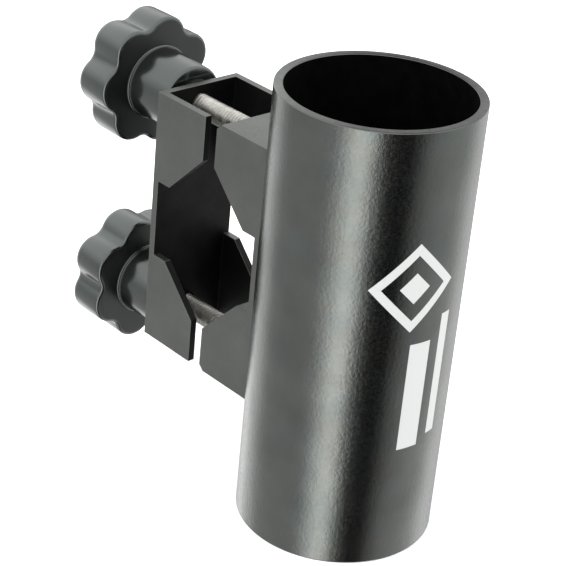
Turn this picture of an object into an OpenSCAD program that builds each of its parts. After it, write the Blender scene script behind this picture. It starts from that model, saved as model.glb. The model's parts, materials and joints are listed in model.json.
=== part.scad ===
// Clamp-on fishing rod holder.
// A straight tube takes the rod butt. Two notched jaws beside it grip a round pole,
// and two star knobs on M6 bolts draw the jaws together.
// Frame: +Z up along the tube, origin on the tube axis at its lower end.
// -X runs from the tube through the jaws to the knobs, Y is the width of the jaws.

/* [Rod tube] */
// Outside diameter of the tube
tube_d = 50; // [44:0.5:60]
// Wall thickness of the tube
tube_wall = 2.3; // [2:0.1:3]
// Length of the tube
tube_len = 115; // [100:1:160]
// Bevel on the four round edges of the tube ends
tube_bevel = 0.35; // [0.1:0.05:0.6]

/* [Jaws] */
// Height of both jaws
jaw_h = 69.5; // [66:0.5:80]
// Width of both jaws along the pole
jaw_w = 26; // [24:0.5:32]
// Height of the middle of the jaws above the lower end of the tube
jaw_mid = 59.5; // [45:0.5:65]
// Height of each gripping end
lobe_h = 12; // [11:0.1:13]
// Depth of the 45 degree slant of the notch
slant = 12.2; // [11:0.1:12.5]
// Depth of the straight step behind the slant
notch_step = 4.5; // [4:0.1:4.8]
// Depth of the fixed jaw between its gripping face and the tube
block_depth = 16; // [15.5:0.1:17]
// Thickness of the moving jaw's web and flanges
sheet = 2; // [1.5:0.1:2.5]
// Gap between the gripping faces as shown
jaw_gap = 4.4; // [4.2:0.1:6]
// Bevel on the outer corners of the fixed jaw
block_bevel = 1.5; // [0.5:0.1:2]
// Thickness left of the fixed jaw beside the tube, behind the notch
rib_t = 1.8; // [1.2:0.1:2.2]

/* [Clamp bolts] */
// Thread diameter of the clamp bolts, as a plain cylinder
bolt_d = 5.9; // [5.85:0.01:5.95]
// Bore of the tapped holes in the fixed jaw
tapped_d = 6; // [5.98:0.01:6.02]
// Clearance hole in the moving jaw and in the washers
pass_d = 6.6; // [6.4:0.1:7]
// Distance between the axes of the two clamp bolts
bolt_spacing = 58.2; // [56.5:0.1:58.8]
// Length of bolt inside the fixed jaw as shown
bolt_grip = 7; // [6:0.1:7.2]
// Width across the flats of the bolt head
head_flats = 10; // [10:0.5:11]
// Height of the bolt head
head_h = 4; // [3.5:0.1:4.2]

/* [Washers] */
// Outside diameter of the washers
washer_d = 12; // [11:0.5:14]
// Thickness of the washers
washer_t = 1.5; // [1:0.1:1.8]
// Clearance between a washer and the knob that turns on it
turn_gap = 0.1; // [0.05:0.05:0.2]

/* [Knobs] */
// Largest radius of the knob, over the lobes
knob_tip_r = 17.7; // [17.2:0.1:18]
// Smallest radius of the knob, in the hollows
knob_hollow_r = 15.2; // [14.8:0.1:15.6]
// Radius of the round end of each lobe
lobe_end_r = 6.3; // [5.8:0.1:6.6]
// Number of lobes
knob_lobes = 7; // [7:1:7]
// How far the upper knob is turned as shown, from a lobe straight down
upper_knob_angle = 13.5; // [0:0.5:51]
// How far the lower knob is turned as shown, from a lobe straight down
lower_knob_angle = 36; // [0:0.5:51]
// Thickness of the star part
star_t = 12; // [11:0.5:13]
// Bevel along both edges of the star
star_bevel = 1.5; // [1:0.1:2.5]
// Length of the hub between the star and the washer
hub_len = 14.6; // [12:0.1:18]
// Radius of the hub at the star
hub_root_r = 9.7; // [9.5:0.1:9.8]
// Radius of the hub at the washer
hub_nose_r = 9.2; // [8.5:0.1:9.4]
// Radius of the raised ring at the root of the hub
ring_r = 10.2; // [10:0.1:11]
// Radius of the cap that closes the knob
cap_r = 7; // [6.5:0.1:8]
// Thickness of the cap
cap_t = 1.8; // [1.2:0.1:2]

/* [Tube screws] */
// Diameter of the countersunk screws, as a plain cylinder
screw_d = 5.9; // [5.8:0.01:5.95]
// Head diameter of the countersunk screws
screw_head_d = 11.6; // [11:0.1:12]
// Length of screw thread inside the fixed jaw
screw_grip = 4; // [3.5:0.1:4.5]
// Width across the flats of the socket in the screw head
socket_flats = 4; // [3:0.5:5]
// Depth of that socket
socket_depth = 2; // [1.5:0.1:2.5]

/* [Hidden] */
$fn = 96;
// Overshoot of a cutting shape past the face that it cuts
eps = 1;
// Fit between a moulded part and what is pressed into it
press_gap = 0.05;

tube_r = tube_d / 2;
bore_r = tube_r - tube_wall;
jaw_top = jaw_mid + jaw_h / 2;
jaw_bottom = jaw_mid - jaw_h / 2;
window_top = jaw_top - lobe_h - slant;
window_bottom = jaw_bottom + lobe_h + slant;
notch_depth = slant + notch_step;

// Planes along X, from the tube outwards
block_face_x = -tube_r - block_depth;
notch_wall_x = block_face_x + notch_depth;
jaw_face_x = block_face_x - jaw_gap;
web_inner_x = jaw_face_x - notch_depth;
web_outer_x = web_inner_x - sheet;
hub_nose_x = web_outer_x - washer_t - turn_gap;
star_face_x = hub_nose_x - hub_len;
star_back_x = star_face_x - star_t;
bolt_tip_x = block_face_x + bolt_grip;
cap_seat_x = star_back_x + cap_t;
head_seat_x = cap_seat_x + head_h + press_gap;

// The bolts run through the gripping ends
upper_z = jaw_mid + bolt_spacing / 2;
lower_z = jaw_mid - bolt_spacing / 2;

black = [0.11, 0.11, 0.115];
matt_black = [0.2, 0.205, 0.205];
zinc = [0.72, 0.71, 0.68];

// A cylinder along +X that starts at x, centred on height z
module along_x(x, z, len, r1, r2) {
    translate([x, 0, z]) rotate([0, 90, 0]) cylinder(h = len, r1 = r1, r2 = r2);
}

// A hexagonal prism along +X, flats measured across
module hex_along_x(x, z, len, flats) {
    translate([x, 0, z]) rotate([0, 90, 0])
        cylinder(h = len, r = flats / 2 / cos(30), $fn = 6);
}

// Side view of a jaw in X and Z: gripping face, slants, steps and window.
// dir is +1 where the body lies towards the tube and -1 where it lies towards the knobs.
function jaw_outline(face_x, dir, back_x) = [
    [face_x, jaw_top], [face_x, jaw_top - lobe_h],
    [face_x + dir * slant, window_top], [face_x + dir * notch_depth, window_top],
    [face_x + dir * notch_depth, window_bottom], [face_x + dir * slant, window_bottom],
    [face_x, jaw_bottom + lobe_h], [face_x, jaw_bottom],
    [back_x, jaw_bottom], [back_x, jaw_top]
];

// Turns a drawing in X and Z into a plate of the jaws' width
module jaw_plate(width) {
    rotate([90, 0, 0]) linear_extrude(height = width, center = true) children();
}

module rod_tube() {
    color(black) difference() {
        rotate_extrude() polygon([
            [bore_r + tube_bevel, 0], [tube_r - tube_bevel, 0],
            [tube_r, tube_bevel], [tube_r, tube_len - tube_bevel],
            [tube_r - tube_bevel, tube_len], [bore_r + tube_bevel, tube_len],
            [bore_r, tube_len - tube_bevel], [bore_r, tube_bevel]
        ]);
        for (z = [lower_z, upper_z]) screw_sink(z);
    }
}

// Space for one countersunk screw: cone through the tube wall and mouth inside the bore
module screw_sink(z) {
    head_r = screw_head_d / 2 + press_gap;
    sink = head_r - tapped_d / 2;
    along_x(-bore_r - sink, z, sink, tapped_d / 2, head_r);
    along_x(-bore_r, z, eps + head_r, head_r, head_r);
    along_x(-tube_r - eps, z, tube_r, tapped_d / 2, tapped_d / 2);
}

module fixed_jaw() {
    color(matt_black) difference() {
        jaw_plate(jaw_w) difference() {
            polygon(jaw_outline(block_face_x, 1, -tube_r / 2));
            for (side = [-1, 1]) block_corner(side);
        }
        translate([0, 0, jaw_bottom - eps]) cylinder(h = jaw_h + 2 * eps, r = tube_r, $fn = 192);
        window_relief();
        for (z = [lower_z, upper_z]) {
            along_x(block_face_x - eps, z, block_depth + tube_r, tapped_d / 2, tapped_d / 2);
            screw_sink(z);
        }
    }
}

// Bevel of the fixed jaw's upper or lower outer corner
module block_corner(side) {
    z = jaw_mid + side * jaw_h / 2;
    polygon([
        [block_face_x - eps, z + side * eps], [block_face_x - eps, z - side * block_bevel],
        [block_face_x, z - side * block_bevel], [block_face_x + block_bevel, z],
        [block_face_x + block_bevel, z + side * eps]
    ]);
}

// Behind the window the fixed jaw is only a rib thick and stands off the tube
module window_relief() {
    translate([notch_wall_x + rib_t, -jaw_w / 2 - eps, window_bottom])
        cube([tube_r, jaw_w + 2 * eps, window_top - window_bottom]);
}

module moving_jaw() {
    color(matt_black) difference() {
        jaw_plate(jaw_w) polygon(jaw_outline(jaw_face_x, -1, web_outer_x));
        translate([web_inner_x, -jaw_w / 2 + sheet, jaw_bottom - eps])
            cube([notch_depth + eps, jaw_w - 2 * sheet, jaw_h + 2 * eps]);
        for (z = [lower_z, upper_z])
            along_x(web_outer_x - eps, z, sheet + 2 * eps, pass_d / 2, pass_d / 2);
    }
}

// One countersunk screw from inside the tube into the fixed jaw
module tube_screw(z) {
    head_r = screw_head_d / 2;
    cone = head_r - screw_d / 2;
    difference() {
        union() {
            along_x(-bore_r - cone, z, cone, screw_d / 2, head_r);
            along_x(-tube_r - screw_grip, z, screw_grip + eps, screw_d / 2, screw_d / 2);
        }
        hex_along_x(-bore_r - socket_depth, z, socket_depth + eps, socket_flats);
    }
}

module tube_screws() {
    color(zinc) for (z = [lower_z, upper_z]) tube_screw(z);
}

module washer(z) {
    color(black) difference() {
        along_x(web_outer_x - washer_t, z, washer_t, washer_d / 2, washer_d / 2);
        along_x(web_outer_x - washer_t - eps, z, washer_t + 2 * eps, pass_d / 2, pass_d / 2);
    }
}

// Hexagon-head bolt moulded into the knob, with a bevelled tip
module bolt(z) {
    tip = 0.8;
    shank_x = head_seat_x - press_gap;
    color(zinc) {
        hex_along_x(cap_seat_x, z, head_h, head_flats);
        along_x(shank_x, z, bolt_tip_x - tip - shank_x, bolt_d / 2, bolt_d / 2);
        along_x(bolt_tip_x - tip, z, tip, bolt_d / 2, bolt_d / 2 - tip);
    }
}

// Points of an arc about a centre, from one angle to another, in equal steps
function arc(centre, r, from, to, steps) = [
    for (i = [0 : steps - 1])
        let (a = from + (to - from) * i / steps)
        centre + r * [cos(a), sin(a)]
];

// A point turned about the origin
function turned(point, angle) = [
    point.x * cos(angle) - point.y * sin(angle),
    point.x * sin(angle) + point.y * cos(angle)
];

// Outline of the star: round lobes joined by hollows that meet them at a tangent
module star_outline() {
    lobe_steps = 8;
    hollow_steps = 4;
    half_step = 180 / knob_lobes;
    lobe_at = knob_tip_r - lobe_end_r;
    reach = lobe_at * cos(half_step);
    hollow_end_r = (pow(lobe_at, 2) + pow(knob_hollow_r, 2) - 2 * reach * knob_hollow_r
        - pow(lobe_end_r, 2)) / (2 * (lobe_end_r - knob_hollow_r + reach));
    hollow_centre = turned([knob_hollow_r + hollow_end_r, 0], half_step);
    // Direction from the middle of a lobe to the point where its hollow begins
    meet = atan2(hollow_centre.y, hollow_centre.x - lobe_at);
    one_lobe = concat(
        arc([lobe_at, 0], lobe_end_r, -meet, meet, lobe_steps),
        arc(hollow_centre, hollow_end_r, meet + 180, 2 * half_step - meet + 180, hollow_steps)
    );
    polygon([
        for (i = [0 : knob_lobes - 1])
            for (point = one_lobe) turned(point, 2 * half_step * i)
    ]);
}

// Disc with bevelled rims that trims the star's edges, standing on z = 0
module star_disc() {
    outer_r = knob_tip_r + eps;
    rim_r = knob_tip_r - star_bevel;
    rotate_extrude() polygon([
        [0, 0], [rim_r, 0], [outer_r, star_bevel + eps],
        [outer_r, star_t - star_bevel - eps], [rim_r, star_t], [0, star_t]
    ]);
}

// Star knob on the height z, turned about its bolt by an angle
module knob(z, angle) {
    ring_t = 0.6;
    nose_bevel = 0.8;
    color(black) difference() {
        union() {
            translate([star_back_x, 0, z]) rotate([0, 90, 0]) intersection() {
                linear_extrude(height = star_t) rotate([0, 0, angle]) star_outline();
                star_disc();
            }
            along_x(star_face_x, z, ring_t, ring_r, ring_r - ring_t);
            along_x(star_face_x, z, hub_len - nose_bevel, hub_root_r, hub_nose_r);
            along_x(hub_nose_x - nose_bevel, z, nose_bevel, hub_nose_r, hub_nose_r - nose_bevel);
        }
        along_x(star_back_x - eps, z, cap_t + eps, cap_r + press_gap, cap_r + press_gap);
        hex_along_x(cap_seat_x - eps, z, head_h + press_gap + eps, head_flats + 2 * press_gap);
        along_x(cap_seat_x, z, star_t + hub_len, tapped_d / 2, tapped_d / 2);
    }
}

// Slightly domed cap over the bolt head
module cap(z) {
    crown = 0.4;
    color(black) {
        along_x(star_back_x + crown, z, cap_t - crown, cap_r, cap_r);
        along_x(star_back_x, z, crown, cap_r - 2 * crown, cap_r);
    }
}

rod_tube();
fixed_jaw();
tube_screws();
moving_jaw();
washer(upper_z);  // upper_washer
washer(lower_z);  // lower_washer
bolt(upper_z);  // upper_bolt
bolt(lower_z);  // lower_bolt
knob(upper_z, upper_knob_angle);  // upper_knob
knob(lower_z, lower_knob_angle);  // lower_knob
cap(upper_z);  // upper_cap
cap(lower_z);  // lower_cap
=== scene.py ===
"""Looks of the clamp-on rod holder: a black tube, two notched jaws, bolts and star knobs."""
import json
import math

import bmesh
import bpy
from mathutils import Matrix, Vector

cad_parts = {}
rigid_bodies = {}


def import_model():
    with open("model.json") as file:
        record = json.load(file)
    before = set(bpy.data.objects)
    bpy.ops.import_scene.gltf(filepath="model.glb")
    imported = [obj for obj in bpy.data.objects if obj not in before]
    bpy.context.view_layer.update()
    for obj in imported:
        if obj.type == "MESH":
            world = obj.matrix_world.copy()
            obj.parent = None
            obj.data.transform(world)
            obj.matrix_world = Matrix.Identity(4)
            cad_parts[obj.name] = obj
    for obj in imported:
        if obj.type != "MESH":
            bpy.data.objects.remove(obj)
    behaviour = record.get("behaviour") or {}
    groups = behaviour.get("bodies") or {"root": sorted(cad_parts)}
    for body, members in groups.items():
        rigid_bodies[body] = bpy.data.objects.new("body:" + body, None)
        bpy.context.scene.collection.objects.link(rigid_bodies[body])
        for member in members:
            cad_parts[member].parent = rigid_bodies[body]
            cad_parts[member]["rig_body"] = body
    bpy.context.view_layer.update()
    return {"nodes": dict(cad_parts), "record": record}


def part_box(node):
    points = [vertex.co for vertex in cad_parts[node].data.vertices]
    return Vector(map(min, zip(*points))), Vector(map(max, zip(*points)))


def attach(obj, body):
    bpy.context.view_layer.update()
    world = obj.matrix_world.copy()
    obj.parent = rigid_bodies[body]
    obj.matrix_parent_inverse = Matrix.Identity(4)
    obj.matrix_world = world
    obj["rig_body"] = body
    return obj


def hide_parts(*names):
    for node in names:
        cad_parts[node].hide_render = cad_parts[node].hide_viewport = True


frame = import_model()

MM = 0.001
TURN = math.tau

# ---- Sizes read from the frame ----

TUBE_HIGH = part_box("rod_tube")[1]
TUBE_R = TUBE_HIGH.x
TUBE_LEN = TUBE_HIGH.z
MOUNTS = {mount["name"]: mount for mount in frame["record"]["mounts"]}
BORE_R = MOUNTS["rod_socket"]["dims"]["r_mm"] * MM
CAP_LOW, CAP_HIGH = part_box("upper_cap")
CAP_R = (CAP_HIGH.y - CAP_LOW.y) / 2
CAP_T = CAP_HIGH.x - CAP_LOW.x

# ---- Sizes of details that the frame leaves plain ----

# Tube: rounding of its rims, and the two holes for the countersunk screws
TUBE_SIDES = 256
RIM_ROUND = 0.35 * MM
RIM_STEPS = 4
SCREW_HEAD_R = 5.85 * MM
SCREW_HOLE_R = 3 * MM
SCREW_HOLE_SIDES = 64

# Jaws and tube screws: rounding of their edges, and the thickness of the moving jaw's sheet
BLOCK_EDGE = 0.22 * MM
CHANNEL_EDGE = 0.2 * MM
SCREW_EDGE = 0.12 * MM
CHANNEL_SHEET = 2 * MM

# Bolts: the thread's crest and root as shares of its pitch, and the hexagon head
BOLT_R = 2.95 * MM
THREAD_PITCH = 1.0 * MM
THREAD_DEPTH = 0.58 * MM
THREAD_CREST_END = 0.14
THREAD_ROOT_START = 0.44
THREAD_ROOT_END = 0.70
THREAD_SIDES = 48
TIP_BEVEL = 0.8 * MM
HEX_FLATS = 10 * MM
HEX_HEIGHT = 4 * MM
HEX_CHAMFER = 0.5 * MM
HEX_FACE_INSET = 0.2 * MM
HEX_CORNER_ROUND = 0.1 * MM
HEX_SHANK_GAP = 0.05 * MM
HEX_SIDES = 48

# Knobs: round lobes and hollows, and one lobe's angle as shown, from +Y towards +Z
KNOB_LOBES = 7
KNOB_TIP_R = 17.7 * MM
KNOB_HOLLOW_R = 15.2 * MM
KNOB_LOBE_END_R = 6.3 * MM
LOBE_STEPS = 14
HOLLOW_STEPS = 10
UPPER_KNOB_ANGLE = math.radians(26.36)
LOWER_KNOB_ANGLE = math.radians(48.86)

# Star: its thickness, the roundings of its two edges, where its flat face starts round the hub, and
# the draft of its side: how far it has drawn in at a share of the thickness and at the crown
STAR_T = 12 * MM
STAR_FILLET = 0.9 * MM
STAR_CROWN = 2.4 * MM
STAR_ROUND_STEPS = 6
STAR_FLAT_R = 10.8 * MM
DRAFT_MIDDLE_AT = 0.6
DRAFT_MIDDLE = 0.03 * MM
DRAFT_END = 0.1 * MM

# Inside of a knob: the bolt's hole, with one ring on its way, and the pocket of the hexagon head
CORE_R = 3.05 * MM
CORE_RING_DEPTH = 6 * MM
POCKET_R = 5.9 * MM
POCKET_SPARE = 0.1 * MM

# Hub in mm: (distance behind its nose, radius), then (distance in front of the star's face, radius)
HUB_NOSE = ((0, 8.4), (0.12, 8.75), (0.4, 9.05), (0.8, 9.18))
HUB_FOOT = ((1.3, 9.62), (0.7, 9.66), (0.56, 9.75), (0.52, 9.95), (0.45, 10.08), (0.3, 10.17), (0, 10.2))

# Recess of the cap in mm: (depth below the knob's outer face, margin round the cap)
CAP_RECESS = ((0.35, 0.9), (0.4, 0.3), (0.6, 0.05))
CAP_GAP = 0.05 * MM

# Cap in mm, from its side to its middle: (depth below its outer face, inset from its rim)
CAP_OUTLINE = (
    (0.75, 0), (0.62, 0.12), (0.5, 0.5), (0.42, 1.2), (0.5, 1.35), (0.5, 1.6), (0.36, 1.75),
    (0.2, 3.2), (0.08, 5)
)
CAP_BACK_CHAMFER = 0.2 * MM
CAP_PINHOLE_R = 0.05 * MM

# Washers: their hole, the rounding of their edges, and the point halfway round it
WASHER_HOLE_R = 3.3 * MM
WASHER_EDGE = 0.25 * MM
WASHER_EDGE_MIDDLE = 0.07 * MM


# ---- Mesh helpers ----

LATHE_SIDES = 96


def new_piece(name, verts, faces, sharp_angle=35):
    """A mesh object with outward normals; edges that bend by more than sharp_angle degrees stay sharp."""
    mesh = bpy.data.meshes.new(name)
    mesh.from_pydata([tuple(v) for v in verts], [], faces)
    obj = bpy.data.objects.new(name, mesh)
    bpy.context.scene.collection.objects.link(obj)
    tidy_mesh(obj, sharp_angle)
    return obj


def tidy_mesh(obj, sharp_angle):
    """Recalculates the normals of a closed mesh and shades it smooth up to an angle in degrees."""
    bm = bmesh.new()
    bm.from_mesh(obj.data)
    bmesh.ops.recalc_face_normals(bm, faces=bm.faces)
    for face in bm.faces:
        face.smooth = True
    for edge in bm.edges:
        edge.smooth = len(edge.link_faces) == 2 and edge.calc_face_angle(0) < math.radians(sharp_angle)
    bm.to_mesh(obj.data)
    bm.free()


def skin(rings, loop=False, caps=False):
    """Faces between rings of equal length; loop joins the last ring to the first, caps close both ends."""
    count = len(rings[0])
    verts = [v for ring in rings for v in ring]
    faces = []
    last = len(rings) if loop else len(rings) - 1
    for i in range(last):
        here = i * count
        there = (i + 1) % len(rings) * count
        for j in range(count):
            k = (j + 1) % count
            faces.append((here + j, here + k, there + k, there + j))
    if caps:
        faces.append(tuple(range(count - 1, -1, -1)))
        faces.append(tuple(range(len(verts) - count, len(verts))))
    return verts, faces


def circle_x(x, radius, z, count):
    """Ring of points about an axis parallel to X at height z."""
    return [
        Vector((x, radius * math.cos(TURN * j / count), z + radius * math.sin(TURN * j / count)))
        for j in range(count)
    ]


def circle_z(radius, z, count):
    """Ring of points about the tube's axis."""
    return [
        Vector((radius * math.cos(TURN * j / count), radius * math.sin(TURN * j / count), z))
        for j in range(count)
    ]


def lathe_x(name, profile, z):
    """Turned piece about an axis parallel to X; profile is a closed list of (x, radius)."""
    rings = [circle_x(x, r, z, LATHE_SIDES) for x, r in profile]
    return new_piece(name, *skin(rings, loop=True), sharp_angle=40)


def quarter_round(steps):
    """Points that round the corner at (0, 0) of a unit square, from (1, 0) to (0, 1)."""
    angles = [TURN / 4 * i / steps for i in range(steps + 1)]
    return [(1 - math.sin(a), 1 - math.cos(a)) for a in angles]


def turned(y, z, angle):
    """The point (y, z) turned about the origin."""
    return y * math.cos(angle) - z * math.sin(angle), y * math.sin(angle) + z * math.cos(angle)


def apply_modifiers(obj):
    """Replaces the object's mesh by its evaluated one and drops the modifiers."""
    bpy.context.view_layer.update()
    evaluated = obj.evaluated_get(bpy.context.evaluated_depsgraph_get())
    mesh = bpy.data.meshes.new_from_object(evaluated)
    obj.modifiers.clear()
    obj.data = mesh


# ---- Places and bodies ----

def axis_height(node):
    """Height of the axis of a node that is round about a line parallel to X."""
    low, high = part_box(node)
    return (low.z + high.z) / 2


def goes_with(obj, node, slot, *materials):
    """The piece rides on a CAD node's body and takes the finishes given; slot is not used."""
    for material in materials:
        obj.data.materials.append(material)
    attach(obj, frame["nodes"][node]["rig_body"])


def stands_for(obj, node, slot, *materials):
    """The piece takes the place of a CAD node and rides on its body."""
    goes_with(obj, node, slot, *materials)
    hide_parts(node)


# ---- Node helpers ----

# Most of a noise's values lie between these two
NOISE_LOW = 0.3
NOISE_HIGH = 0.7

# Places of a colour Mix node's sockets
MIX_A = 6
MIX_B = 7
MIX_RESULT = 2

BLACK = (0, 0, 0)


def add_node(tree, kind, **settings):
    """A new node with its settings."""
    node = tree.nodes.new(kind)
    for key, value in settings.items():
        setattr(node, key, value)
    return node


class Nodes:
    """Short names for building a material's node tree."""

    def __init__(self, name):
        self.material = bpy.data.materials.new(name)
        self.material.use_nodes = True
        self.tree = self.material.node_tree
        self.shader = self.tree.nodes["Principled BSDF"]
        self.place = self.add("ShaderNodeTexCoord").outputs["Object"]

    def add(self, kind, **settings):
        return add_node(self.tree, kind, **settings)

    def link(self, source, target):
        self.tree.links.new(source, target)

    def set(self, **values):
        """Sets the shader's own sockets to values that are the same all over."""
        for key, value in values.items():
            self.shader.inputs[key.replace("_", " ")].default_value = value

    def feed(self, **sources):
        """Links node outputs to the shader's sockets."""
        for key, source in sources.items():
            self.link(source, self.shader.inputs[key.replace("_", " ")])

    def axes(self):
        """The place in object space as separate X, Y and Z outputs."""
        node = self.add("ShaderNodeSeparateXYZ")
        self.link(self.place, node.inputs["Vector"])
        return node.outputs["X"], node.outputs["Y"], node.outputs["Z"]

    def noise(self, scale, detail=3.0, roughness=0.5, stretch=(1, 1, 1)):
        """Noise in object space, stretched along an axis where its factor is below 1."""
        mapping = self.add("ShaderNodeMapping")
        mapping.inputs["Scale"].default_value = stretch
        self.link(self.place, mapping.inputs["Vector"])
        node = self.add("ShaderNodeTexNoise")
        node.inputs["Scale"].default_value = scale
        node.inputs["Detail"].default_value = detail
        node.inputs["Roughness"].default_value = roughness
        self.link(mapping.outputs["Vector"], node.inputs["Vector"])
        return node.outputs["Fac"]

    def spread(self, value, low, high, to_low, to_high):
        """Maps a value from one range to another, clamped."""
        node = self.add("ShaderNodeMapRange")
        for key, number in zip(("From Min", "From Max", "To Min", "To Max"), (low, high, to_low, to_high)):
            node.inputs[key].default_value = number
        self.link(value, node.inputs["Value"])
        return node.outputs["Result"]

    def varied(self, noise, low=0.0, high=1.0):
        """A noise spread so that it varies from low to high."""
        return self.spread(noise, NOISE_LOW, NOISE_HIGH, low, high)

    def math(self, operation, a, b=None):
        """Arithmetic on numbers or outputs."""
        node = self.add("ShaderNodeMath", operation=operation)
        for socket, value in zip(node.inputs, (a, b)):
            if isinstance(value, (int, float)):
                socket.default_value = value
            elif value is not None:
                self.link(value, socket)
        return node.outputs["Value"]

    def mix(self, factor, a, b):
        """Colour mix; the factor is an output, a and b are colours or outputs."""
        node = self.add("ShaderNodeMix", data_type="RGBA")
        self.link(factor, node.inputs["Factor"])
        for socket, value in ((node.inputs[MIX_A], a), (node.inputs[MIX_B], b)):
            if isinstance(value, bpy.types.NodeSocket):
                self.link(value, socket)
            else:
                socket.default_value = (*value, 1)
        return node.outputs[MIX_RESULT]

    def bump(self, height, distance, after=None):
        """Bumped normal; distance is the depth in metres, after is a bump that comes first."""
        node = self.add("ShaderNodeBump")
        node.inputs["Distance"].default_value = distance
        self.link(height, node.inputs["Height"])
        if after is not None:
            self.link(after, node.inputs["Normal"])
        return node.outputs["Normal"]


# ---- Materials ----

# The mark: a diamond above two bars that run along the tube, placed by angle and height
MARK_ANGLE = math.radians(-15.5)
MARK_DIAMOND_Z = 76 * MM
MARK_DIAMOND_R = 11.5 * MM
MARK_DIAMOND_T = 3.0 * MM
MARK_DOT_R = 4.0 * MM
# Each bar's middle across the tube, its width, and its lower and upper end
MARK_BARS = ((3.6 * MM, 6.0 * MM, 32 * MM, 61 * MM), (11.2 * MM, 3.0 * MM, 34 * MM, 67 * MM))
MARK_EDGE = 0.1 * MM
MARK_DEPTH = 0.2 * MM
MARK_COLOUR = (0.4, 0.41, 0.405)
MARK_ROUGHNESS = 0.5

# Painted reflection round the tube's end face, lined up with the camera's right: low + spread u^2 - U u - V v
RIM_PAINTED_REFLECTION_ANGLE = math.radians(45.6)
RIM_PAINTED_REFLECTION_LOW = 0.03
RIM_PAINTED_REFLECTION_SPREAD = 0.06
RIM_PAINTED_REFLECTION_U = 0.03
RIM_PAINTED_REFLECTION_V = 0.016

# Faint green of the knobs' highlights
KNOB_TINT = (0.9, 1.0, 0.96)


def anodised_tube():
    """Black satin anodised tube with a plain pale printed mark."""
    n = Nodes("anodised_tube")
    tone = n.varied(n.noise(90, 4), 0.098, 0.122)
    tint = n.mix(n.spread(n.noise(130, 3), 0.4, 0.6, 0.0, 1.0), (0.915, 1.0, 0.955), (0.96, 1.0, 0.93))
    mark = printed_mark(n)
    speckle = n.noise(1300, 3, 0.6)
    satin = n.varied(speckle, 0.19, 0.27)
    grain = n.bump(n.spread(speckle, 0.35, 0.75, 0.0, 1.0), 0.022 * MM)
    n.feed(
        Base_Color=n.mix(mark, n.mix(tone, BLACK, tint), MARK_COLOUR),
        Metallic=n.math("SUBTRACT", 1.0, mark),
        Roughness=n.math("MAXIMUM", satin, n.math("MULTIPLY", mark, MARK_ROUGHNESS)),
        Normal=n.bump(n.noise(260, 4, 0.6, (1, 1, 0.3)), 0.045 * MM, after=grain),
    )
    return n.material


def printed_mark(n):
    """1 on the mark and 0 elsewhere, from the angle round the tube and the height."""
    x, y, up = n.axes()
    across = n.math("MULTIPLY", n.math("SUBTRACT", n.math("ARCTAN2", y, x), MARK_ANGLE), TUBE_R)
    side_way = n.math("ABSOLUTE", across)
    up_way = n.math("ABSOLUTE", n.math("SUBTRACT", up, MARK_DIAMOND_Z))
    diamond = n.math("ADD", side_way, up_way)
    shape = inside(n, diamond, MARK_DIAMOND_R - MARK_DIAMOND_T / 2, MARK_DIAMOND_T / 2)
    shape = n.math("MAXIMUM", shape, inside(n, diamond, 0.0, MARK_DOT_R))
    for side, width, low, high in MARK_BARS:
        bar = n.math("MULTIPLY", inside(n, across, side, width / 2),
                     inside(n, up, (low + high) / 2, (high - low) / 2))
        shape = n.math("MAXIMUM", shape, bar)
    from_axis = n.math("SQRT", n.math("ADD", n.math("POWER", x, 2.0), n.math("POWER", y, 2.0)))
    return n.math("MULTIPLY", shape, n.math("GREATER_THAN", from_axis, TUBE_R - MARK_DEPTH))


def inside(n, value, middle, reach):
    """1 where value lies within reach of middle, with a soft edge."""
    away = n.math("ABSOLUTE", n.math("SUBTRACT", value, middle))
    return n.spread(away, reach - MARK_EDGE / 2, reach + MARK_EDGE / 2, 1.0, 0.0)


def turned_rim_painted_reflection():
    """End face of the tube, turned on a lathe and then anodised: fine rings, darker than the skin, with a
    painted reflection that makes it lighter on one side and darker on the other.
    """
    n = Nodes("turned_rim_painted_reflection")
    n.set(Metallic=1.0)
    x, y, _ = n.axes()
    # u and v run from -1 to 1 across the end face, u along the camera's right: the painted reflection is
    # lightest near u = -1 and darkest near v = 1
    along_u = math.cos(RIM_PAINTED_REFLECTION_ANGLE) / TUBE_R
    along_v = math.sin(RIM_PAINTED_REFLECTION_ANGLE) / TUBE_R
    u = n.math("ADD", n.math("MULTIPLY", x, along_u), n.math("MULTIPLY", y, along_v))
    v = n.math("SUBTRACT", n.math("MULTIPLY", y, along_u), n.math("MULTIPLY", x, along_v))
    painted_reflection = n.math("ADD", n.math("MULTIPLY", n.math("POWER", u, 2.0), RIM_PAINTED_REFLECTION_SPREAD), RIM_PAINTED_REFLECTION_LOW)
    painted_reflection = n.math("SUBTRACT", painted_reflection, n.math("MULTIPLY", u, RIM_PAINTED_REFLECTION_U))
    painted_reflection = n.math("SUBTRACT", painted_reflection, n.math("MULTIPLY", v, RIM_PAINTED_REFLECTION_V))
    cloud = n.varied(n.noise(90, 4), 0.85, 1.15)
    rings = n.add("ShaderNodeTexWave", wave_type="RINGS", rings_direction="Z")
    n.link(n.place, rings.inputs["Vector"])
    rings.inputs["Scale"].default_value = 900
    rings.inputs["Distortion"].default_value = 0.5
    n.feed(
        Base_Color=n.mix(n.math("MULTIPLY", painted_reflection, cloud), BLACK, (0.96, 1.0, 0.96)),
        Roughness=n.varied(n.noise(900, 3), 0.34, 0.46),
        Normal=n.bump(rings.outputs["Fac"], 0.004 * MM),
    )
    return n.material


def bore_painted_shade():
    """Inside of the tube, near black and dull: painted shade, where little light gets in."""
    n = Nodes("bore_painted_shade")
    n.set(Roughness=0.75, Specular_IOR_Level=0.02)
    n.feed(
        Base_Color=n.mix(n.varied(n.noise(300, 4)), (0.0006, 0.0006, 0.0006), (0.0016, 0.0016, 0.0016)),
        Normal=n.bump(n.noise(900, 2), 0.02 * MM),
    )
    return n.material


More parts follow.
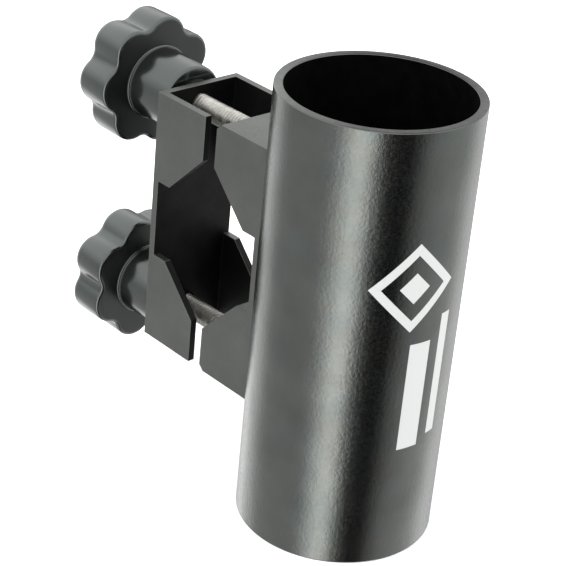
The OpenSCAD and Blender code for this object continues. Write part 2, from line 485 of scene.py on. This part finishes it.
def anodised_jaw():
    """Fine blasted, matt black anodised aluminium."""
    n = Nodes("anodised_jaw")
    n.set(Metallic=1.0)
    n.feed(
        Base_Color=n.mix(n.varied(n.noise(110, 4), 0.105, 0.125), BLACK, (0.95, 1.0, 0.945)),
        Roughness=n.varied(n.noise(900, 3), 0.42, 0.5),
        Normal=n.bump(n.noise(1500, 2, 0.6), 0.015 * MM),
    )
    return n.material


def channel_painted_shade():
    """Inside and sawn edges of the moving jaw's channel: a darker copy of the jaw's black, painted shade where
    little light falls.
    """
    n = Nodes("channel_painted_shade")
    n.set(Metallic=1.0)
    n.feed(
        Base_Color=n.mix(n.varied(n.noise(110, 4)), (0.010, 0.0105, 0.010), (0.018, 0.0185, 0.018)),
        Roughness=n.varied(n.noise(900, 3), 0.5, 0.58),
        Normal=n.bump(n.noise(1500, 2, 0.6), 0.015 * MM),
    )
    return n.material


def knob_plastic():
    """Black moulded plastic with a slight gloss and faint flow marks."""
    n = Nodes("knob_plastic")
    n.set(Specular_IOR_Level=1.0, Specular_Tint=(*KNOB_TINT, 1))
    grain = n.bump(n.noise(1200, 2, 0.6), 0.006 * MM)
    n.feed(
        Base_Color=n.mix(n.varied(n.noise(70, 4)), (0.003, 0.0034, 0.0034), (0.006, 0.0065, 0.0063)),
        Roughness=n.varied(n.noise(250, 4), 0.13, 0.21),
        Normal=n.bump(n.noise(120, 2), 0.08 * MM, after=grain),
    )
    return n.material


def knob_face():
    """Matt, finely textured side of the star that faces the jaws, darker and less glossy than the rest of the
    knob: painted shade.
    """
    n = Nodes("knob_face")
    n.set(Specular_IOR_Level=0.48, Specular_Tint=(*KNOB_TINT, 1))
    n.feed(
        Base_Color=n.mix(n.varied(n.noise(90, 4)), (0.002, 0.0022, 0.0022), (0.006, 0.0064, 0.0062)),
        Roughness=n.varied(n.noise(80, 5, 0.6), 0.25, 0.43),
        Normal=n.bump(n.noise(1500, 3, 0.6), 0.01 * MM),
    )
    return n.material


def zinc_steel():
    """Zinc-plated steel, slightly uneven, with a fine grain."""
    n = Nodes("zinc_steel")
    n.set(Metallic=1.0)
    n.feed(
        Base_Color=n.mix(n.varied(n.noise(350, 5)), (0.4, 0.395, 0.37), (0.62, 0.61, 0.58)),
        Roughness=n.varied(n.noise(600, 4, 0.6), 0.28, 0.45),
        Normal=n.bump(n.noise(1800, 3), 0.015 * MM),
    )
    return n.material


def washer_plastic():
    """Matt black nylon."""
    n = Nodes("washer_plastic")
    n.set(Specular_IOR_Level=0.15)
    n.feed(
        Base_Color=n.mix(n.varied(n.noise(400, 3)), (0.003, 0.003, 0.003), (0.007, 0.007, 0.007)),
        Roughness=n.varied(n.noise(800, 3), 0.45, 0.6),
        Normal=n.bump(n.noise(1500, 2), 0.02 * MM),
    )
    return n.material


def floor_white():
    """Pale studio floor with a barely visible unevenness."""
    n = Nodes("floor_white")
    n.set(Roughness=0.8, Specular_IOR_Level=0.1)
    n.feed(Base_Color=n.mix(n.varied(n.noise(3, 2)), (0.86, 0.86, 0.86), (0.88, 0.88, 0.88)))
    return n.material


TUBE_FINISH = anodised_tube()
BORE_PAINTED_SHADE = bore_painted_shade()
RIM_FINISH_AND_PAINTED_REFLECTION = turned_rim_painted_reflection()
JAW_FINISH = anodised_jaw()
CHANNEL_PAINTED_SHADE = channel_painted_shade()
KNOB_FINISH = knob_plastic()
KNOB_FACE_PAINTED_SHADE = knob_face()
STEEL_FINISH = zinc_steel()
WASHER_FINISH = washer_plastic()


# ---- Tube ----

def make_tube():
    """Tube with softly rounded rims and the two countersunk screw holes."""
    sharp_angle = 30
    profile = []
    for corner_r, corner_z, side_r, side_z in (
        (BORE_R, 0, 1, 1), (TUBE_R, 0, -1, 1), (TUBE_R, TUBE_LEN, -1, -1), (BORE_R, TUBE_LEN, 1, -1)
    ):
        arc = [(corner_r + side_r * RIM_ROUND * across, corner_z + side_z * RIM_ROUND * along)
               for across, along in quarter_round(RIM_STEPS)]
        # Each arc runs from the end face to the wall, so every second one is turned round
        from_wall = (corner_r == BORE_R) == (corner_z == 0)
        profile.extend(reversed(arc) if from_wall else arc)
    rings = [circle_z(r, z, TUBE_SIDES) for r, z in profile]
    tube = new_piece("tube_body", *skin(rings, loop=True), sharp_angle)
    # The tube screws share the bolts' axes
    for node in ("lower_bolt", "upper_bolt"):
        cut_screw_hole(tube, axis_height(node))
    tidy_mesh(tube, sharp_angle)
    # Finish 0 is the skin, 1 the bore with its painted shade and 2 the two end faces with their painted
    # reflection
    bore_limit = BORE_R + 0.02 * MM
    for face in tube.data.polygons:
        if math.hypot(face.center.x, face.center.y) < bore_limit:
            face.material_index = 1
        elif abs(face.normal.z) > 0.6:
            face.material_index = 2
    stands_for(tube, "rod_tube", "anodised_tube", TUBE_FINISH, BORE_PAINTED_SHADE, RIM_FINISH_AND_PAINTED_REFLECTION)


def cut_screw_hole(tube, z):
    """Countersunk hole through the wall on the jaw side, cut with a boolean that is applied."""
    outside = -TUBE_R - 2 * MM
    in_bore = -BORE_R + 6 * MM
    cone_end = -BORE_R - (SCREW_HEAD_R - SCREW_HOLE_R)
    profile = (
        (outside, SCREW_HOLE_R), (cone_end, SCREW_HOLE_R), (-BORE_R, SCREW_HEAD_R), (in_bore, SCREW_HEAD_R)
    )
    rings = [circle_x(x, r, z, SCREW_HOLE_SIDES) for x, r in profile]
    cutter = new_piece("cutter", *skin(rings, caps=True))
    cut = tube.modifiers.new("cut", "BOOLEAN")
    cut.operation = "DIFFERENCE"
    cut.solver = "EXACT"
    cut.object = cutter
    apply_modifiers(tube)
    bpy.data.objects.remove(cutter)


# ---- Jaws and screws: the CAD shape with its sharp edges softened ----

def make_softened(node, name, edge, slot, finish, segments=3):
    """Copy of a CAD node's shape, flat faces merged and its edges rounded."""
    mesh = bpy.data.meshes.new(name)
    bm = bmesh.new()
    bm.from_mesh(frame["nodes"][node].data)
    bmesh.ops.remove_doubles(bm, verts=bm.verts, dist=1e-6)
    bmesh.ops.dissolve_limit(bm, angle_limit=math.radians(1), verts=bm.verts, edges=bm.edges)
    bmesh.ops.recalc_face_normals(bm, faces=bm.faces)
    for face in bm.faces:
        face.smooth = True
    bm.to_mesh(mesh)
    bm.free()
    obj = bpy.data.objects.new(name, mesh)
    bpy.context.scene.collection.objects.link(obj)
    bevel = obj.modifiers.new("edges", "BEVEL")
    bevel.width = edge
    bevel.segments = segments
    bevel.limit_method = "ANGLE"
    bevel.angle_limit = math.radians(35)
    bevel.use_clamp_overlap = True
    # Big flat faces keep straight normals and only the rounded edges bend
    normals = obj.modifiers.new("normals", "WEIGHTED_NORMAL")
    normals.mode = "FACE_AREA"
    normals.weight = 100
    apply_modifiers(obj)
    stands_for(obj, node, slot, finish)
    return obj


def paint_channel_shade(jaw):
    """Gives the inside of the moving jaw's channel and its sawn edges a darker copy of the jaw's finish:
    painted shade.
    """
    low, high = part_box("moving_jaw")
    slack = 0.05 * MM
    jaw.data.materials.append(CHANNEL_PAINTED_SHADE)
    for face in jaw.data.polygons:
        deep = face.center.x > low.x + CHANNEL_SHEET - slack
        within = abs(face.center.y) < high.y - CHANNEL_SHEET + slack
        upright = abs(face.normal.z) < 0.5
        sawn = face.normal.x > 0.6 and abs(face.normal.y) < 0.3
        if sawn or (deep and within and upright):
            face.material_index = 1


# ---- Bolts with a real helical thread ----

def make_bolt(node, name):
    """M6 bolt: hexagon head, helical thread along the whole shank and a bevelled tip."""
    low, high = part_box(node)
    z = axis_height(node)
    shank = new_piece(name, *thread(low.x + HEX_HEIGHT, high.x, z), sharp_angle=25)
    stands_for(shank, node, "zinc_steel", STEEL_FINISH)
    head = make_hex_head(name + "_head", low.x, z)
    goes_with(head, node, "zinc_steel", STEEL_FINISH)


def thread(x_start, x_end, z):
    """Right-hand thread along +X, skinned along the helix so that its crests stay sharp."""
    root = BOLT_R - THREAD_DEPTH
    corners = ((0.0, BOLT_R), (THREAD_CREST_END, BOLT_R), (THREAD_ROOT_START, root), (THREAD_ROOT_END, root))
    count = THREAD_SIDES
    turns = math.ceil((x_end - x_start) / THREAD_PITCH) + 2
    verts = []
    for turn in range(-1, turns):
        for share, radius in corners:
            for j in range(count):
                x = x_start + THREAD_PITCH * (turn + share + j / count)
                x = min(max(x, x_start), x_end)
                r = min(radius, BOLT_R - TIP_BEVEL + (x_end - x))
                a = TURN * j / count
                verts.append(Vector((x, r * math.cos(a), z + r * math.sin(a))))
    # A row ends where the row one pitch further on starts
    step = len(corners)
    rows = (turns + 1) * step
    faces = []
    for i in range(rows - 1):
        for j in range(count):
            a = i * count + j
            b = a + count
            if j + 1 < count:
                faces.append((a, a + 1, b + 1, b))
            elif i + 1 + step < rows:
                faces.append((a, (i + step) * count, (i + 1 + step) * count, b))
    return close_ends(verts, faces)


def close_ends(verts, faces):
    """Merges coincident points and fills the two open ends."""
    same_place = 1e-7
    bm = bmesh.new()
    made = [bm.verts.new(v) for v in verts]
    for face in faces:
        bm.faces.new([made[i] for i in face])
    bmesh.ops.remove_doubles(bm, verts=bm.verts, dist=same_place)
    bmesh.ops.dissolve_degenerate(bm, dist=same_place, edges=bm.edges)
    bmesh.ops.holes_fill(bm, edges=[e for e in bm.edges if len(e.link_faces) == 1])
    bm.verts.ensure_lookup_table()
    bm.verts.index_update()
    result = [v.co.copy() for v in bm.verts], [[v.index for v in f.verts] for f in bm.faces]
    bm.free()
    return result


def make_hex_head(name, x, z):
    """Hexagon head with the usual chamfer round its outer corners."""
    sixth = TURN / 6
    corner_r = HEX_FLATS / 2 / math.cos(sixth / 2)

    def hexagon(at, limit):
        ring = []
        for j in range(HEX_SIDES):
            a = TURN * j / HEX_SIDES
            from_flat = (a + sixth / 2) % sixth - sixth / 2
            r = min(HEX_FLATS / 2 / math.cos(from_flat), limit)
            ring.append(Vector((at, r * math.sin(a), z + r * math.cos(a))))
        return ring

    rings = [
        hexagon(x, HEX_FLATS / 2 - HEX_FACE_INSET),
        hexagon(x + HEX_CHAMFER, corner_r - HEX_CORNER_ROUND),
        hexagon(x + HEX_HEIGHT - HEX_SHANK_GAP, corner_r - HEX_CORNER_ROUND),
    ]
    return new_piece(name, *skin(rings, caps=True), sharp_angle=25)


# ---- Knobs ----

def star_points(inset):
    """Star outline: round lobes and hollows, moved inwards by inset. Returns (y, z) pairs."""
    half = TURN / 2 / KNOB_LOBES
    lobe_at = KNOB_TIP_R - KNOB_LOBE_END_R
    reach = lobe_at * math.cos(half)
    # The hollow's arc touches the lobe's arc and reaches down to KNOB_HOLLOW_R
    hollow_end_r = (lobe_at ** 2 + KNOB_HOLLOW_R ** 2 - 2 * reach * KNOB_HOLLOW_R - KNOB_LOBE_END_R ** 2) / (
        2 * (KNOB_LOBE_END_R - KNOB_HOLLOW_R + reach))
    hollow_at = KNOB_HOLLOW_R + hollow_end_r
    meet = math.atan2(hollow_at * math.sin(half), hollow_at * math.cos(half) - lobe_at)
    outline = []
    for k in range(KNOB_LOBES):
        turn = 2 * half * k
        for i in range(LOBE_STEPS):
            a = -meet + 2 * meet * i / LOBE_STEPS
            r = KNOB_LOBE_END_R - inset
            outline.append(turned(lobe_at + r * math.cos(a), r * math.sin(a), turn))
        for i in range(HOLLOW_STEPS):
            a = meet + TURN / 2 + (2 * half - 2 * meet) * i / HOLLOW_STEPS
            r = hollow_end_r + inset
            outline.append(turned(hollow_at * math.cos(half) + r * math.cos(a),
                                  hollow_at * math.sin(half) + r * math.sin(a), turn))
    return outline


def make_knob(node, name, phase):
    """Seven-lobed star knob: rounded star, raised ring, hub, hollow core and cap recess."""
    low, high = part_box(node)
    z = axis_height(node.replace("knob", "bolt"))
    back = low.x
    nose = high.x
    face = back + STAR_T
    # Round rings have their points at the same angles as the star, so every ring matches the next
    outline_angles = [math.atan2(p[1], p[0]) for p in star_points(0)]

    def star_ring(x, inset):
        return [Vector((x, *turned(p[0], p[1], phase))) + Vector((0, 0, z)) for p in star_points(inset)]

    def round_ring(x, radius):
        return [
            Vector((x, radius * math.cos(a + phase), z + radius * math.sin(a + phase)))
            for a in outline_angles
        ]

    def between(outer, inner, share):
        return [a.lerp(b, share) for a, b in zip(outer, inner)]

    # Hub, from the bolt's hole round its nose to the ring at its root
    rings = [round_ring(nose - CORE_RING_DEPTH, CORE_R), round_ring(nose, CORE_R)]
    rings.extend(round_ring(nose - behind * MM, r * MM) for behind, r in HUB_NOSE)
    rings.extend(round_ring(face + in_front * MM, r * MM) for in_front, r in HUB_FOOT)
    # Flat face of the star, then the small rounding to its side
    inner = round_ring(face, STAR_FLAT_R)
    outer = star_ring(face, STAR_FILLET)
    rings.append(inner)
    rings.extend(between(inner, outer, share) for share in (0.35, 0.7))
    rings.extend(star_ring(face - STAR_FILLET * along, STAR_FILLET * across)
                 for across, along in quarter_round(STAR_ROUND_STEPS))
    # Plain side, then the rounded crown
    rings.append(star_ring(back + DRAFT_MIDDLE_AT * STAR_T, DRAFT_MIDDLE))
    rings.extend(star_ring(back + STAR_CROWN * along, DRAFT_END + STAR_CROWN * across)
                 for along, across in quarter_round(STAR_ROUND_STEPS))
    # Outer face, slightly dished, down into the recess of the cap and the pocket of the head
    edge = rings[-1]
    recess = [round_ring(back + depth * MM, CAP_R + margin * MM) for depth, margin in CAP_RECESS]
    rings.extend(between(edge, recess[0], share) for share in (0.3, 0.65))
    rings.extend(recess)
    seat = back + CAP_T
    pocket_end = seat + HEX_HEIGHT + POCKET_SPARE
    for x, r in ((seat, CAP_R + CAP_GAP), (seat, POCKET_R), (pocket_end, POCKET_R), (pocket_end, CORE_R)):
        rings.append(round_ring(x, r))
    knob = new_piece(name, *skin(rings, loop=True), sharp_angle=32)
    # Finish 1, with its painted shade, is the flat face of the star
    for polygon in knob.data.polygons:
        if abs(polygon.center.x - face) < 0.01 * MM and polygon.normal.x > 0.9:
            polygon.material_index = 1
    stands_for(knob, node, "knob_plastic", KNOB_FINISH, KNOB_FACE_PAINTED_SHADE)


def make_cap(node, name):
    """Cap pressed into the knob, softly domed with a thin groove near its rim."""
    low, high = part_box(node)
    profile = [(high.x, CAP_PINHOLE_R), (high.x, CAP_R - CAP_BACK_CHAMFER), (high.x - CAP_BACK_CHAMFER, CAP_R)]
    profile.extend((low.x + depth * MM, CAP_R - inset * MM) for depth, inset in CAP_OUTLINE)
    profile.append((low.x, CAP_PINHOLE_R))
    cap = lathe_x(name, profile, axis_height(node))
    stands_for(cap, node, "knob_plastic", KNOB_FINISH)


def make_washer(node, name):
    """Flat washer with rounded edges."""
    low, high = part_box(node)
    outer = (high.z - low.z) / 2
    inner = WASHER_HOLE_R
    edge = WASHER_EDGE
    middle = WASHER_EDGE_MIDDLE
    profile = [(low.x, inner + edge), (low.x, outer - edge), (low.x + middle, outer - middle),
               (low.x + edge, outer), (high.x - edge, outer), (high.x - middle, outer - middle),
               (high.x, outer - edge), (high.x, inner + edge), (high.x - edge, inner), (low.x + edge, inner)]
    washer = lathe_x(name, profile, axis_height(node))
    stands_for(washer, node, "washer_plastic", WASHER_FINISH)


# ---- Camera, light and floor ----

# Camera: its direction from the part, where azimuth 0 looks along +Y and 90 along -X, its roll,
# its distance, its lens in mm and the point it aims at
VIEW_AZIMUTH = math.radians(45.62)
VIEW_ELEVATION = math.radians(27.55)
VIEW_ROLL = math.radians(5.59)
VIEW_DISTANCE = 474.3 * MM
VIEW_LENS = 120.9
VIEW_AIM = Vector((-21.6, -4.4, 56.3)) * MM

# Half the floor's side in metres, and how far it lies below the tube
FLOOR_REACH = 3.0
FLOOR_GAP = 0.05 * MM

# Soft lamps: name, place and width in metres, power in watts; both aim at the same point
LAMPS = (("key", (-0.5, -0.7, 0.9), 0.7, 9), ("fill", (0.9, 0.3, 0.7), 0.9, 4))
LAMP_AIM = Vector((0, 0, 0.05))

# Brightness of the studio round the object, by angle in degrees from the camera's side,
# positive to the camera's right
STUDIO = (
    (-180, 0.4), (-167, 1.0), (-150, 1.9), (-124, 1.7), (-108, 0.95), (-44, 0.92), (-31, 2.4), (-20, 4.3),
    (-9, 3.9), (2, 0.8), (11, 0.03), (38, 0.01), (50, 0.5), (64, 0.95), (95, 1.2), (130, 1.7), (150, 1.1),
    (165, 0.65), (180, 0.4)
)
# Strength of the world's light; the ramp holds each brightness as a share of it
STUDIO_PEAK = 5.0
# Brightness overhead, and the heights on a unit sphere between which it takes over
SKY_LEVEL = 2.0
SKY_START = 0.05
SKY_FULL = 0.5
# Grey that the camera sees behind the object
BACKDROP = 0.9


def view_axes():
    """The camera's right, up and back directions."""
    a = VIEW_AZIMUTH
    e = VIEW_ELEVATION
    back = Vector((math.sin(a) * math.cos(e), -math.cos(a) * math.cos(e), math.sin(e)))
    level = Vector((math.cos(a), math.sin(a), 0))
    upright = back.cross(level)
    right = level * math.cos(VIEW_ROLL) + upright * math.sin(VIEW_ROLL)
    up = upright * math.cos(VIEW_ROLL) - level * math.sin(VIEW_ROLL)
    return right, up, back


def make_camera():
    """Camera at the view's angle, aimed at the middle of the part."""
    right, up, back = view_axes()
    data = bpy.data.cameras.new("camera")
    data.lens = VIEW_LENS
    data.sensor_width = 36
    data.clip_start = 0.01
    camera = bpy.data.objects.new("camera", data)
    camera.matrix_world = Matrix.Translation(VIEW_AIM + back * VIEW_DISTANCE) @ Matrix(
        (right, up, back)).transposed().to_4x4()
    bpy.context.scene.collection.objects.link(camera)
    bpy.context.scene.camera = camera


def make_floor():
    """Pale floor just below the tube; it doesn't show in reflections."""
    reach = FLOOR_REACH
    corners = [(-reach, -reach, 0), (reach, -reach, 0), (reach, reach, 0), (-reach, reach, 0)]
    floor = new_piece("floor", corners, [(0, 1, 2, 3)])
    floor.location.z = -FLOOR_GAP
    floor.data.materials.append(floor_white())
    floor.visible_glossy = False


def make_lamp(name, place, size, power):
    """Round soft lamp that doesn't show in reflections."""
    data = bpy.data.lights.new(name, "AREA")
    data.shape = "DISK"
    data.size = size
    data.energy = power
    lamp = bpy.data.objects.new(name, data)
    lamp.location = place
    direction = Vector(place) - LAMP_AIM
    lamp.rotation_euler = direction.to_track_quat("Z", "Y").to_euler()
    lamp.visible_glossy = False
    bpy.context.scene.collection.objects.link(lamp)


def make_studio():
    """World that only reflections and soft light see; the camera sees plain pale grey."""
    world = bpy.data.worlds.new("studio")
    bpy.context.scene.world = world
    world.use_nodes = True
    tree = world.node_tree
    tree.nodes.clear()

    place = add_node(tree, "ShaderNodeTexCoord")
    turn = add_node(tree, "ShaderNodeVectorRotate", rotation_type="Z_AXIS")
    # Turns the camera's side onto +X
    turn.inputs["Angle"].default_value = TURN / 4 - VIEW_AZIMUTH
    axes = add_node(tree, "ShaderNodeSeparateXYZ")
    angle = add_node(tree, "ShaderNodeMath", operation="ARCTAN2")
    share = add_node(tree, "ShaderNodeMapRange")
    share.inputs["From Min"].default_value = -TURN / 2
    share.inputs["From Max"].default_value = TURN / 2
    ramp = add_node(tree, "ShaderNodeValToRGB")
    ramp.color_ramp.interpolation = "EASE"
    stops = ramp.color_ramp.elements
    for i, (degrees, level) in enumerate(STUDIO):
        position = (degrees + 180) / 360
        # A new ramp has two stops already
        stop = stops[i] if i < 2 else stops.new(position)
        stop.position = position
        stop.color = (*[level / STUDIO_PEAK] * 3, 1)
    sky = add_node(tree, "ShaderNodeMapRange")
    sky.inputs["From Min"].default_value = SKY_START
    sky.inputs["From Max"].default_value = SKY_FULL
    above = add_node(tree, "ShaderNodeMix", data_type="RGBA")
    above.inputs[MIX_B].default_value = (*[SKY_LEVEL / STUDIO_PEAK] * 3, 1)
    studio = add_node(tree, "ShaderNodeBackground")
    studio.inputs["Strength"].default_value = STUDIO_PEAK
    plain = add_node(tree, "ShaderNodeBackground")
    plain.inputs["Color"].default_value = (BACKDROP, BACKDROP, BACKDROP, 1)
    path = add_node(tree, "ShaderNodeLightPath")
    either = add_node(tree, "ShaderNodeMixShader")
    output = add_node(tree, "ShaderNodeOutputWorld")
    for source, target in (
        (place.outputs["Generated"], turn.inputs["Vector"]),
        (turn.outputs["Vector"], axes.inputs["Vector"]),
        (axes.outputs["Y"], angle.inputs[0]),
        (axes.outputs["X"], angle.inputs[1]),
        (angle.outputs["Value"], share.inputs["Value"]),
        (share.outputs["Result"], ramp.inputs["Fac"]),
        (axes.outputs["Z"], sky.inputs["Value"]),
        (sky.outputs["Result"], above.inputs["Factor"]),
        (ramp.outputs["Color"], above.inputs[MIX_A]),
        (above.outputs[MIX_RESULT], studio.inputs["Color"]),
        (path.outputs["Is Camera Ray"], either.inputs["Fac"]),
        (studio.outputs["Background"], either.inputs[1]),
        (plain.outputs["Background"], either.inputs[2]),
        (either.outputs["Shader"], output.inputs["Surface"]),
    ):
        tree.links.new(source, target)
    world.cycles.sampling_method = "NONE"


# ---- The scene ----

make_camera()
make_studio()
make_floor()
for lamp_name, place, size, power in LAMPS:
    make_lamp(lamp_name, place, size, power)

make_tube()
make_softened("fixed_jaw", "fixed_jaw_block", BLOCK_EDGE, "anodised_jaw", JAW_FINISH)
paint_channel_shade(make_softened("moving_jaw", "moving_jaw_channel", CHANNEL_EDGE, "anodised_jaw", JAW_FINISH))
make_softened("tube_screws", "tube_screws_countersunk", SCREW_EDGE, "zinc_steel", STEEL_FINISH, segments=2)
for level, phase in (("upper", UPPER_KNOB_ANGLE), ("lower", LOWER_KNOB_ANGLE)):
    make_washer(f"{level}_washer", f"{level}_washer_ring")
    make_bolt(f"{level}_bolt", f"{level}_bolt_thread")
    make_knob(f"{level}_knob", f"{level}_knob_star", phase)
    make_cap(f"{level}_cap", f"{level}_cap_disc")

view = bpy.context.scene.view_settings
view.view_transform = "Standard"
view.look = "None"
